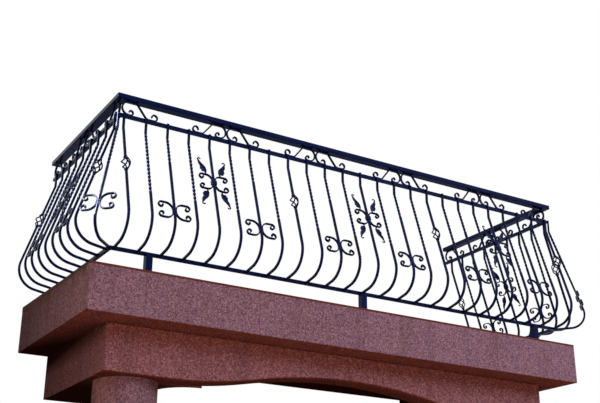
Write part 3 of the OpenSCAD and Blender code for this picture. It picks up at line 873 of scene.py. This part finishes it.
def on_bar(s):
    """A place on the leaning part: Y runs up the bar and X points along the rail."""
    q = on_lean(s)
    return Matrix.Translation((q.x, q.y, 0)) @ Matrix.Rotation(lean, 4, "Z") @ turn(-90, "Y")


def basket_parts(place, gaps):
    stand = on_bar(basket_at) @ turn(90, "X")
    return [(basket, place(k) @ stand) for k in range(0, gaps + 1, every_basket)]


all_sides("baskets_forged", "baskets", basket_parts)

# %% [markdown]
# ## C scrolls
#
# Two C scrolls stand back to back on a bar. Each is flat bar on edge, with a short straight back
# and, at both ends, a quarter bend, a straight arm and a tight curl. One half is made and mirrored
# both ways.

# %% C scrolls
half_lap = 0.0005
inner_curl, inner_curl_turn = 0.55, math.radians(150)


def c_half(back, bend_r, arm, curl_r):
    """Half a C scroll. Its back is straight, and its arm leads to a curl that tightens inwards."""
    return path((bar_t / 2 + scroll_t / 2, -half_lap), math.radians(90),
        [(back / 2 + half_lap,), ("bend", bend_r, -math.pi / 2), (arm,),
         ("bend", curl_r, -math.pi), ("bend", curl_r * inner_curl, -inner_curl_turn)], coarse_bend)


def four_ways(mesh):
    """A scroll half and its mirror images, as one mesh."""
    def build(bm):
        for sx in (1, -1):
            for sy in (1, -1):
                start = len(bm.verts)
                bm.from_mesh(mesh)
                bmesh.ops.scale(bm, vec=(sx, sy, 1), verts=bm.verts[:][start:])
    return stored(build)


c_pair = four_ways(bar_along(c_half(0.012, 0.0455, 0.024, 0.017), scroll_t, scroll_w))


def c_parts(place, gaps):
    return [(c_pair, place(k) @ on_bar(c_at)) for k in range(every_leaf // 2, gaps, every_leaf)]


all_sides("c_scrolls_bent", "c_scrolls", c_parts)
left_and_right("corner_scrolls_bent", "corner_scrolls",
               [(c_pair, corner_spot @ on_bar(corner_c_at))])

# %% [markdown]
# ## Leaf scrolls
#
# Halfway between two baskets a collar holds a pair of C scrolls with tighter bends, and a leaf
# springs from the crest of each curve. The leaf is cut from sheet: a short stem, a smooth edge
# beside the bar, three lobes outside, of which the last is small, a raised middle vein, and a thin
# tip bent to a hook. It is a grid whose rows are carried along a curved vein, then given its
# thickness.

# %% Shape of a leaf
leaf_back, leaf_bend, leaf_arm, leaf_curl = 0.030, 0.038, 0.028, 0.016
vein_out_r, vein_out, vein_in_r, vein_in = 0.066, math.radians(58), 0.090, math.radians(24)
tip_len, hook_r, hook = 0.007, 0.0085, math.radians(190)
blade_len = vein_out_r * vein_out + vein_in_r * vein_in + 2 * tip_len
stem_share, stem_half, sheet_t = 0.08, 0.0038, 0.0028
edge_reach, cup_depth, vein_fine = 0.0095, 0.005, math.radians(3)
lobes = (0.17, 0.44, 0.022), (0.33, 0.66, 0.024), (0.60, 0.90, 0.007)
lobe_lean, lobe_round, blade_round, cup_round = 0.62, 0.75, 0.9, 0.7


def lobe_reach(s):
    """How far the outer edge reaches out at a share s of the blade. A lobe is (from, to, reach)."""
    def one(a, b, reach):
        if not a < s < b:
            return 0.0
        return reach * math.sin(math.pi * ((s - a) / (b - a)) ** lobe_lean) ** lobe_round
    return max(one(*lobe) for lobe in lobes)


def leaf_point(vein_frame, s, side):
    """A point of the blade: s is its share of the length and side runs from -1 to 1."""
    full = 0.0
    if stem_share < s < 1:
        full = math.sin(math.pi * (s - stem_share) / (1 - stem_share)) ** blade_round
    near = stem_half + edge_reach * full * (1.25 - 0.5 * s)
    far = stem_half + lobe_reach(s)
    cup = cup_depth * full * (1 - abs(side)) ** cup_round
    return vein_frame @ Vector((side * (near if side > 0 else far), cup, 0))


print("leaf blade:", round(blade_len * 1000, 1), "mm, its stem", round(stem_share * 100), "percent")

# %% Leaf from a grid
def leaf_build(bm):
    root = bar_t / 2 + leaf_bend + scroll_t, leaf_back / 2 + leaf_bend
    vein = path(root, math.radians(105),
        [("bend", vein_out_r, -vein_out), ("bend", vein_in_r, vein_in), (tip_len,), (tip_len,),
         ("bend", hook_r, hook)], vein_fine)
    n = len(vein) - 1
    length = [0.0]
    for a, b in zip(vein, vein[1:]):
        length.append(length[-1] + (b.to_translation() - a.to_translation()).length)
    made = bmesh.ops.create_grid(bm, x_segments=n, y_segments=8, size=1.0)
    for v in made["verts"]:
        step = round((v.co.x + 1) / 2 * n)
        v.co = leaf_point(vein[step], min(1.0, length[step] / blade_len), v.co.y)
    bmesh.ops.recalc_face_normals(bm, faces=bm.faces[:])
    bmesh.ops.solidify(bm, geom=bm.faces[:], thickness=sheet_t)
    bmesh.ops.translate(bm, vec=(0, 0, -sheet_t / 2), verts=bm.verts[:])


leaves = four_ways(stored(leaf_build))
print("faces of four leaves:", len(leaves.polygons))

# %% Leaf scrolls
leaf_half = bar_along(c_half(leaf_back, leaf_bend, leaf_arm, leaf_curl), scroll_t, scroll_w)
leaf_cs = four_ways(leaf_half)
collar_size, collar_edge = (0.034, 0.032, 0.020), 0.0025
collar = stored(lambda bm: rounded_block(bm, collar_size, collar_edge))


def leaf_parts(place, gaps):
    return [(mesh, place(k) @ on_bar(basket_at))
            for k in range(every_leaf, gaps, 2 * every_leaf) for mesh in (leaves, leaf_cs, collar)]


piece_of("front_leaf_scrolls_forged", leaf_parts(front_place, front_gaps), "front_leaf_scrolls")
piece_of("left_leaf_scroll_forged", leaf_parts(left_row, side_gaps), "left_leaf_scroll")
piece_of("right_leaf_scroll_forged", leaf_parts(right_row, side_gaps), "right_leaf_scroll",
         mirrored=True)

# %% [markdown]
# ## Band of scrolls under the handrail
#
# Pairs of long S scrolls stand back to back between the mid rail and the handrail. Each starts with
# a curl on the mid rail, rises against its twin, runs along the handrail, slopes down and ends in
# a hook on the mid rail. Both parts are measured from the top of the rise, so the first one's
# frames are taken backwards, each turned about, and the strip is one bar. It is a little thicker
# than that of the C scrolls. The front has four pairs, set by eye and not quite evenly, and half a
# pair at each end.

# %% S scroll
band_t = scroll_t + 0.0015
twin_gap = 0.0003
band_r = (band_h - scroll_t) / 2
rise_top = (band_t + coat) / 2 + twin_gap / 2 + band_r, band_h - scroll_t / 2
slope_r, slope = 0.025, math.radians(52)
along_rail, down_slope, to_hook = 0.0355, 0.081, 0.0358
hook_steps = [("bend", 0.019, math.pi), ("bend", 0.015, math.radians(110))]
curl_steps = [(0.012,), ("bend", 0.015, math.pi), ("bend", 0.008, math.radians(120))]
outer = path(rise_top, 0.0,
    [(along_rail,), ("bend", slope_r, -slope), (down_slope,), ("bend", slope_r, slope), (to_hook,)]
    + hook_steps, coarse_bend)
inner = path(rise_top, math.pi, [("bend", band_r, math.pi)] + curl_steps, coarse_bend)
strip = [place @ turn(180, "Y") for place in reversed(inner)] + outer[1:]
band_half = bar_along(strip, band_t, scroll_w)
print("faces of an S scroll:", len(band_half.polygons))

# %% Band at its places
def flipped_build(bm):
    bm.from_mesh(band_half)
    bmesh.ops.scale(bm, vec=(-1, 1, 1), verts=bm.verts[:])


band_half_flipped = stored(flipped_build)


def front_spot(x):
    return Matrix.Translation((x, rail_y, mid_top)) @ turn(90, "X")


def left_spot(y):
    return Matrix.Translation((-rail_x, rail_y + y, mid_top)) @ turn(90, "Z") @ turn(90, "X")


def pair(place):
    return [(band_half, place), (band_half_flipped, place)]


end_in = 0.006
off_even = (0.021, -0.002, 0.012, 0.041)
band_pitch = 2 * rail_x / (len(off_even) + 1)
parts = []
for i, shift in enumerate(off_even, start=1):
    parts += pair(front_spot(-rail_x + i * band_pitch + shift))
parts += [(band_half, front_spot(-rail_x + end_in)),
          (band_half_flipped, front_spot(rail_x - end_in))]
piece_of("front_scroll_band_bent", parts, "front_scroll_band")
side_len = -rail_y
side_parts = [(band_half, left_spot(end_in)), *pair(left_spot(side_len / 2)),
              (band_half_flipped, left_spot(side_len))]
left_and_right("scroll_band_bent", "scroll_band", side_parts)

# %% [markdown]
# ## Welds
#
# Each bar of a row is welded to the mid rail and the bottom rail. A weld is a small bead that was
# painted over. One bead of twenty faces is copied to every such joint.

# %% Welds
bead_r, bead_shape = 0.0045, (0.7, 0.6, 1.5)


def bead_build(bm):
    bmesh.ops.create_icosphere(bm, subdivisions=1, radius=bead_r)
    bmesh.ops.scale(bm, vec=bead_shape, verts=bm.verts[:])


bead = stored(bead_build)
under_mid = Matrix.Translation((bar_out - bar_t / 2, mid_low, 0))
over_low = Matrix.Translation((row.end + 0.001, low_mid + 0.008, 0))


def weld_parts(place, gaps):
    return [(bead, place(k) @ spot) for k in range(gaps + 1) for spot in (under_mid, over_low)]


piece_of("front_welds", weld_parts(front_place, front_gaps), sharp=180)
piece_of("left_welds", weld_parts(left_row, side_gaps), sharp=180)
piece_of("right_welds", weld_parts(right_row, side_gaps), sharp=180, mirrored=True)
